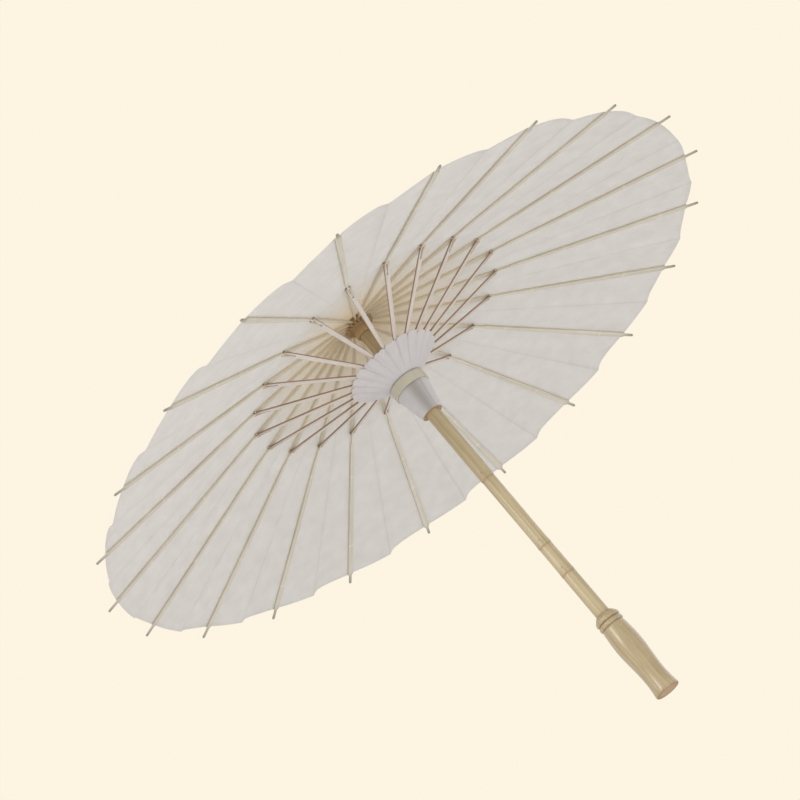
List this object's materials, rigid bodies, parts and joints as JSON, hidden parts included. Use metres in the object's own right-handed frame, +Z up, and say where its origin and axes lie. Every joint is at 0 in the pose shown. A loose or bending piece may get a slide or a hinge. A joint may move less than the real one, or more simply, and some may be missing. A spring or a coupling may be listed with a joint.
{
  "type": "oil paper umbrella",
  "caption": "Open white oil-paper parasol with a pleated paper canopy on split-bamboo ribs and stretchers, a sliding runner, a bamboo shaft and a turned handle.",
  "frame": {"origin": "centre of the handle's flat end face", "axes": "+Z up the shaft towards the canopy's head; the first rib points along -Y"},
  "size_m": [0.5992, 0.5976, 0.4344],
  "materials": {
    "bamboo_shaft": "peeled pale bamboo pole, satin, with soft nodes and long fibres",
    "turned_handle": "turned bamboo, smoothed and lightly polished, browner end grain",
    "hub_wood": "turned wood, dry, tan",
    "bamboo_rib": "split bamboo strip, pale, matt, with long fibres and greyed tips",
    "bamboo_stretcher": "split bamboo strip, pale broad faces and brown cut edges",
    "oiled_paper": "white oiled mulberry paper, matt, slightly see-through, with fibres and fold creases",
    "collar_paper": "white mulberry paper, pleated",
    "sleeve_paper": "grey-white paper glued round the runner",
    "band_paper": "cream-olive paper band",
    "thread": "twisted cotton thread",
    "spring_steel": "thin spring steel leaf"
  },
  "bodies": {
    "shaft": {"shaft": "bamboo_shaft", "handle": "turned_handle", "top_notch": "hub_wood", "notch_thread": "thread", "finial": "turned_handle", "head_cap": "oiled_paper", "cap_thread": "thread", "canopy_paper": "oiled_paper"},
    "rib_01": {"rib_01": "bamboo_rib"},
    "stretcher_01": {"stretcher_01": "bamboo_stretcher"},
    "rib_02": {"rib_02": "bamboo_rib"},
    "stretcher_02": {"stretcher_02": "bamboo_stretcher"},
    "rib_03": {"rib_03": "bamboo_rib"},
    "stretcher_03": {"stretcher_03": "bamboo_stretcher"},
    "rib_04": {"rib_04": "bamboo_rib"},
    "stretcher_04": {"stretcher_04": "bamboo_stretcher"},
    "rib_05": {"rib_05": "bamboo_rib"},
    "stretcher_05": {"stretcher_05": "bamboo_stretcher"},
    "rib_06": {"rib_06": "bamboo_rib"},
    "stretcher_06": {"stretcher_06": "bamboo_stretcher"},
    "rib_07": {"rib_07": "bamboo_rib"},
    "stretcher_07": {"stretcher_07": "bamboo_stretcher"},
    "rib_08": {"rib_08": "bamboo_rib"},
    "stretcher_08": {"stretcher_08": "bamboo_stretcher"},
    "rib_09": {"rib_09": "bamboo_rib"},
    "stretcher_09": {"stretcher_09": "bamboo_stretcher"},
    "rib_10": {"rib_10": "bamboo_rib"},
    "stretcher_10": {"stretcher_10": "bamboo_stretcher"},
    "rib_11": {"rib_11": "bamboo_rib"},
    "stretcher_11": {"stretcher_11": "bamboo_stretcher"},
    "rib_12": {"rib_12": "bamboo_rib"},
    "stretcher_12": {"stretcher_12": "bamboo_stretcher"},
    "rib_13": {"rib_13": "bamboo_rib"},
    "stretcher_13": {"stretcher_13": "bamboo_stretcher"},
    "rib_14": {"rib_14": "bamboo_rib"},
    "stretcher_14": {"stretcher_14": "bamboo_stretcher"},
    "rib_15": {"rib_15": "bamboo_rib"},
    "stretcher_15": {"stretcher_15": "bamboo_stretcher"},
    "rib_16": {"rib_16": "bamboo_rib"},
    "stretcher_16": {"stretcher_16": "bamboo_stretcher"},
    "rib_17": {"rib_17": "bamboo_rib"},
    "stretcher_17": {"stretcher_17": "bamboo_stretcher"},
    "rib_18": {"rib_18": "bamboo_rib"},
    "stretcher_18": {"stretcher_18": "bamboo_stretcher"},
    "rib_19": {"rib_19": "bamboo_rib"},
    "stretcher_19": {"stretcher_19": "bamboo_stretcher"},
    "rib_20": {"rib_20": "bamboo_rib"},
    "stretcher_20": {"stretcher_20": "bamboo_stretcher"},
    "rib_21": {"rib_21": "bamboo_rib"},
    "stretcher_21": {"stretcher_21": "bamboo_stretcher"},
    "runner": {"runner_hub": "hub_wood", "runner_sleeve": "sleeve_paper", "runner_band": "band_paper", "runner_thread": "thread", "paper_collar": "collar_paper"},
    "catch": {"latch_catch": "spring_steel"}
  },
  "joints": [
    {"name": "canopy_fold", "type": "hinge", "parent": "shaft", "child": "rib_01", "pos_m": [0, -0.01, 0.3985], "axis": [1, 0, 0], "range_deg": [0, 70.7], "deforming": ["canopy_paper", "paper_collar", "latch_catch"]},
    {"name": "rib_02_hinge", "type": "hinge", "parent": "shaft", "child": "rib_02", "pos_m": [0.00295, -0.00956, 0.3985], "axis": [0.9556, 0.2948, 0], "range_deg": [0, 70.7]},
    {"name": "rib_03_hinge", "type": "hinge", "parent": "shaft", "child": "rib_03", "pos_m": [0.00563, -0.00826, 0.3985], "axis": [0.8262, 0.5633, 0], "range_deg": [0, 70.7]},
    {"name": "rib_04_hinge", "type": "hinge", "parent": "shaft", "child": "rib_04", "pos_m": [0.00782, -0.00623, 0.3985], "axis": [0.6235, 0.7818, 0], "range_deg": [0, 70.7]},
    {"name": "rib_05_hinge", "type": "hinge", "parent": "shaft", "child": "rib_05", "pos_m": [0.00931, -0.00365, 0.3985], "axis": [0.3653, 0.9309, 0], "range_deg": [0, 70.7]},
    {"name": "rib_06_hinge", "type": "hinge", "parent": "shaft", "child": "rib_06", "pos_m": [0.00997, -0.00075, 0.3985], "axis": [0.0747, 0.9972, 0], "range_deg": [0, 70.7]},
    {"name": "rib_07_hinge", "type": "hinge", "parent": "shaft", "child": "rib_07", "pos_m": [0.00975, 0.00223, 0.3985], "axis": [-0.2225, 0.9749, 0], "range_deg": [0, 70.7]},
    {"name": "rib_08_hinge", "type": "hinge", "parent": "shaft", "child": "rib_08", "pos_m": [0.00866, 0.005, 0.3985], "axis": [-0.5, 0.866, 0], "range_deg": [0, 70.7]},
    {"name": "rib_09_hinge", "type": "hinge", "parent": "shaft", "child": "rib_09", "pos_m": [0.0068, 0.00733, 0.3985], "axis": [-0.7331, 0.6802, 0], "range_deg": [0, 70.7]},
    {"name": "rib_10_hinge", "type": "hinge", "parent": "shaft", "child": "rib_10", "pos_m": [0.00434, 0.00901, 0.3985], "axis": [-0.901, 0.4339, 0], "range_deg": [0, 70.7]},
    {"name": "rib_11_hinge", "type": "hinge", "parent": "shaft", "child": "rib_11", "pos_m": [0.00149, 0.00989, 0.3985], "axis": [-0.9888, 0.149, 0], "range_deg": [0, 70.7]},
    {"name": "rib_12_hinge", "type": "hinge", "parent": "shaft", "child": "rib_12", "pos_m": [-0.00149, 0.00989, 0.3985], "axis": [-0.9888, -0.149, 0], "range_deg": [0, 70.7]},
    {"name": "rib_13_hinge", "type": "hinge", "parent": "shaft", "child": "rib_13", "pos_m": [-0.00434, 0.00901, 0.3985], "axis": [-0.901, -0.4339, 0], "range_deg": [0, 70.7]},
    {"name": "rib_14_hinge", "type": "hinge", "parent": "shaft", "child": "rib_14", "pos_m": [-0.0068, 0.00733, 0.3985], "axis": [-0.7331, -0.6802, 0], "range_deg": [0, 70.7]},
    {"name": "rib_15_hinge", "type": "hinge", "parent": "shaft", "child": "rib_15", "pos_m": [-0.00866, 0.005, 0.3985], "axis": [-0.5, -0.866, 0], "range_deg": [0, 70.7]},
    {"name": "rib_16_hinge", "type": "hinge", "parent": "shaft", "child": "rib_16", "pos_m": [-0.00975, 0.00223, 0.3985], "axis": [-0.2225, -0.9749, 0], "range_deg": [0, 70.7]},
    {"name": "rib_17_hinge", "type": "hinge", "parent": "shaft", "child": "rib_17", "pos_m": [-0.00997, -0.00075, 0.3985], "axis": [0.0747, -0.9972, 0], "range_deg": [0, 70.7]},
    {"name": "rib_18_hinge", "type": "hinge", "parent": "shaft", "child": "rib_18", "pos_m": [-0.00931, -0.00365, 0.3985], "axis": [0.3653, -0.9309, 0], "range_deg": [0, 70.7]},
    {"name": "rib_19_hinge", "type": "hinge", "parent": "shaft", "child": "rib_19", "pos_m": [-0.00782, -0.00623, 0.3985], "axis": [0.6235, -0.7818, 0], "range_deg": [0, 70.7]},
    {"name": "rib_20_hinge", "type": "hinge", "parent": "shaft", "child": "rib_20", "pos_m": [-0.00563, -0.00826, 0.3985], "axis": [0.8262, -0.5633, 0], "range_deg": [0, 70.7]},
    {"name": "rib_21_hinge", "type": "hinge", "parent": "shaft", "child": "rib_21", "pos_m": [-0.00295, -0.00956, 0.3985], "axis": [0.9556, -0.2948, 0], "range_deg": [0, 70.7]},
    {"name": "stretcher_01_pivot", "type": "hinge", "parent": "rib_01", "child": "stretcher_01", "pos_m": [0, -0.1213, 0.3712], "axis": [1, 0, 0], "range_deg": [-141.6, 0]},
    {"name": "stretcher_02_pivot", "type": "hinge", "parent": "rib_02", "child": "stretcher_02", "pos_m": [0.03575, -0.11591, 0.3712], "axis": [0.9556, 0.2948, 0], "range_deg": [-141.6, 0]},
    {"name": "stretcher_03_pivot", "type": "hinge", "parent": "rib_03", "child": "stretcher_03", "pos_m": [0.06833, -0.10022, 0.3712], "axis": [0.8262, 0.5633, 0], "range_deg": [-141.6, 0]},
    {"name": "stretcher_04_pivot", "type": "hinge", "parent": "rib_04", "child": "stretcher_04", "pos_m": [0.09484, -0.07563, 0.3712], "axis": [0.6235, 0.7818, 0], "range_deg": [-141.6, 0]},
    {"name": "stretcher_05_pivot", "type": "hinge", "parent": "rib_05", "child": "stretcher_05", "pos_m": [0.11292, -0.04432, 0.3712], "axis": [0.3653, 0.9309, 0], "range_deg": [-141.6, 0]},
    {"name": "stretcher_06_pivot", "type": "hinge", "parent": "rib_06", "child": "stretcher_06", "pos_m": [0.12096, -0.00906, 0.3712], "axis": [0.0747, 0.9972, 0], "range_deg": [-141.6, 0]},
    {"name": "stretcher_07_pivot", "type": "hinge", "parent": "rib_07", "child": "stretcher_07", "pos_m": [0.11826, 0.02699, 0.3712], "axis": [-0.2225, 0.9749, 0], "range_deg": [-141.6, 0]},
    {"name": "stretcher_08_pivot", "type": "hinge", "parent": "rib_08", "child": "stretcher_08", "pos_m": [0.10505, 0.06065, 0.3712], "axis": [-0.5, 0.866, 0], "range_deg": [-141.6, 0]},
    {"name": "stretcher_09_pivot", "type": "hinge", "parent": "rib_09", "child": "stretcher_09", "pos_m": [0.0825, 0.08892, 0.3712], "axis": [-0.7331, 0.6802, 0], "range_deg": [-141.6, 0]},
    {"name": "stretcher_10_pivot", "type": "hinge", "parent": "rib_10", "child": "stretcher_10", "pos_m": [0.05263, 0.10929, 0.3712], "axis": [-0.901, 0.4339, 0], "range_deg": [-141.6, 0]},
    {"name": "stretcher_11_pivot", "type": "hinge", "parent": "rib_11", "child": "stretcher_11", "pos_m": [0.01808, 0.11995, 0.3712], "axis": [-0.9888, 0.149, 0], "range_deg": [-141.6, 0]},
    {"name": "stretcher_12_pivot", "type": "hinge", "parent": "rib_12", "child": "stretcher_12", "pos_m": [-0.01808, 0.11995, 0.3712], "axis": [-0.9888, -0.149, 0], "range_deg": [-141.6, 0]},
    {"name": "stretcher_13_pivot", "type": "hinge", "parent": "rib_13", "child": "stretcher_13", "pos_m": [-0.05263, 0.10929, 0.3712], "axis": [-0.901, -0.4339, 0], "range_deg": [-141.6, 0]},
    {"name": "stretcher_14_pivot", "type": "hinge", "parent": "rib_14", "child": "stretcher_14", "pos_m": [-0.0825, 0.08892, 0.3712], "axis": [-0.7331, -0.6802, 0], "range_deg": [-141.6, 0]},
    {"name": "stretcher_15_pivot", "type": "hinge", "parent": "rib_15", "child": "stretcher_15", "pos_m": [-0.10505, 0.06065, 0.3712], "axis": [-0.5, -0.866, 0], "range_deg": [-141.6, 0]},
    {"name": "stretcher_16_pivot", "type": "hinge", "parent": "rib_16", "child": "stretcher_16", "pos_m": [-0.11826, 0.02699, 0.3712], "axis": [-0.2225, -0.9749, 0], "range_deg": [-141.6, 0]},
    {"name": "stretcher_17_pivot", "type": "hinge", "parent": "rib_17", "child": "stretcher_17", "pos_m": [-0.12096, -0.00906, 0.3712], "axis": [0.0747, -0.9972, 0], "range_deg": [-141.6, 0]},
    {"name": "stretcher_18_pivot", "type": "hinge", "parent": "rib_18", "child": "stretcher_18", "pos_m": [-0.11292, -0.04432, 0.3712], "axis": [0.3653, -0.9309, 0], "range_deg": [-141.6, 0]},
    {"name": "stretcher_19_pivot", "type": "hinge", "parent": "rib_19", "child": "stretcher_19", "pos_m": [-0.09484, -0.07563, 0.3712], "axis": [0.6235, -0.7818, 0], "range_deg": [-141.6, 0]},
    {"name": "stretcher_20_pivot", "type": "hinge", "parent": "rib_20", "child": "stretcher_20", "pos_m": [-0.06833, -0.10022, 0.3712], "axis": [0.8262, -0.5633, 0], "range_deg": [-141.6, 0]},
    {"name": "stretcher_21_pivot", "type": "hinge", "parent": "rib_21", "child": "stretcher_21", "pos_m": [-0.03575, -0.11591, 0.3712], "axis": [0.9556, -0.2948, 0], "range_deg": [-141.6, 0]},
    {"name": "runner_hinge", "type": "hinge", "parent": "stretcher_01", "child": "runner", "pos_m": [0, -0.01, 0.3439], "axis": [1, 0, 0], "range_deg": [0, 70.7]},
    {"name": "catch_press", "type": "hinge", "parent": "shaft", "child": "catch", "pos_m": [0, 0.0042, 0.262], "axis": [1, 0, 0], "range_deg": [0, 5], "stiffness_Nm_per_rad": 0.3, "springref_deg": -6.88}
  ],
  "couplings": [
    {"joint": "rib_02_hinge", "follows": "canopy_fold", "ratio": 1},
    {"joint": "rib_03_hinge", "follows": "canopy_fold", "ratio": 1},
    {"joint": "rib_04_hinge", "follows": "canopy_fold", "ratio": 1},
    {"joint": "rib_05_hinge", "follows": "canopy_fold", "ratio": 1},
    {"joint": "rib_06_hinge", "follows": "canopy_fold", "ratio": 1},
    {"joint": "rib_07_hinge", "follows": "canopy_fold", "ratio": 1},
    {"joint": "rib_08_hinge", "follows": "canopy_fold", "ratio": 1},
    {"joint": "rib_09_hinge", "follows": "canopy_fold", "ratio": 1},
    {"joint": "rib_10_hinge", "follows": "canopy_fold", "ratio": 1},
    {"joint": "rib_11_hinge", "follows": "canopy_fold", "ratio": 1},
    {"joint": "rib_12_hinge", "follows": "canopy_fold", "ratio": 1},
    {"joint": "rib_13_hinge", "follows": "canopy_fold", "ratio": 1},
    {"joint": "rib_14_hinge", "follows": "canopy_fold", "ratio": 1},
    {"joint": "rib_15_hinge", "follows": "canopy_fold", "ratio": 1},
    {"joint": "rib_16_hinge", "follows": "canopy_fold", "ratio": 1},
    {"joint": "rib_17_hinge", "follows": "canopy_fold", "ratio": 1},
    {"joint": "rib_18_hinge", "follows": "canopy_fold", "ratio": 1},
    {"joint": "rib_19_hinge", "follows": "canopy_fold", "ratio": 1},
    {"joint": "rib_20_hinge", "follows": "canopy_fold", "ratio": 1},
    {"joint": "rib_21_hinge", "follows": "canopy_fold", "ratio": 1},
    {"joint": "stretcher_01_pivot", "follows": "canopy_fold", "ratio": -2},
    {"joint": "stretcher_02_pivot", "follows": "canopy_fold", "ratio": -2},
    {"joint": "stretcher_03_pivot", "follows": "canopy_fold", "ratio": -2},
    {"joint": "stretcher_04_pivot", "follows": "canopy_fold", "ratio": -2},
    {"joint": "stretcher_05_pivot", "follows": "canopy_fold", "ratio": -2},
    {"joint": "stretcher_06_pivot", "follows": "canopy_fold", "ratio": -2},
    {"joint": "stretcher_07_pivot", "follows": "canopy_fold", "ratio": -2},
    {"joint": "stretcher_08_pivot", "follows": "canopy_fold", "ratio": -2},
    {"joint": "stretcher_09_pivot", "follows": "canopy_fold", "ratio": -2},
    {"joint": "stretcher_10_pivot", "follows": "canopy_fold", "ratio": -2},
    {"joint": "stretcher_11_pivot", "follows": "canopy_fold", "ratio": -2},
    {"joint": "stretcher_12_pivot", "follows": "canopy_fold", "ratio": -2},
    {"joint": "stretcher_13_pivot", "follows": "canopy_fold", "ratio": -2},
    {"joint": "stretcher_14_pivot", "follows": "canopy_fold", "ratio": -2},
    {"joint": "stretcher_15_pivot", "follows": "canopy_fold", "ratio": -2},
    {"joint": "stretcher_16_pivot", "follows": "canopy_fold", "ratio": -2},
    {"joint": "stretcher_17_pivot", "follows": "canopy_fold", "ratio": -2},
    {"joint": "stretcher_18_pivot", "follows": "canopy_fold", "ratio": -2},
    {"joint": "stretcher_19_pivot", "follows": "canopy_fold", "ratio": -2},
    {"joint": "stretcher_20_pivot", "follows": "canopy_fold", "ratio": -2},
    {"joint": "stretcher_21_pivot", "follows": "canopy_fold", "ratio": -2},
    {"joint": "runner_hinge", "follows": "canopy_fold", "ratio": 1}
  ]
}
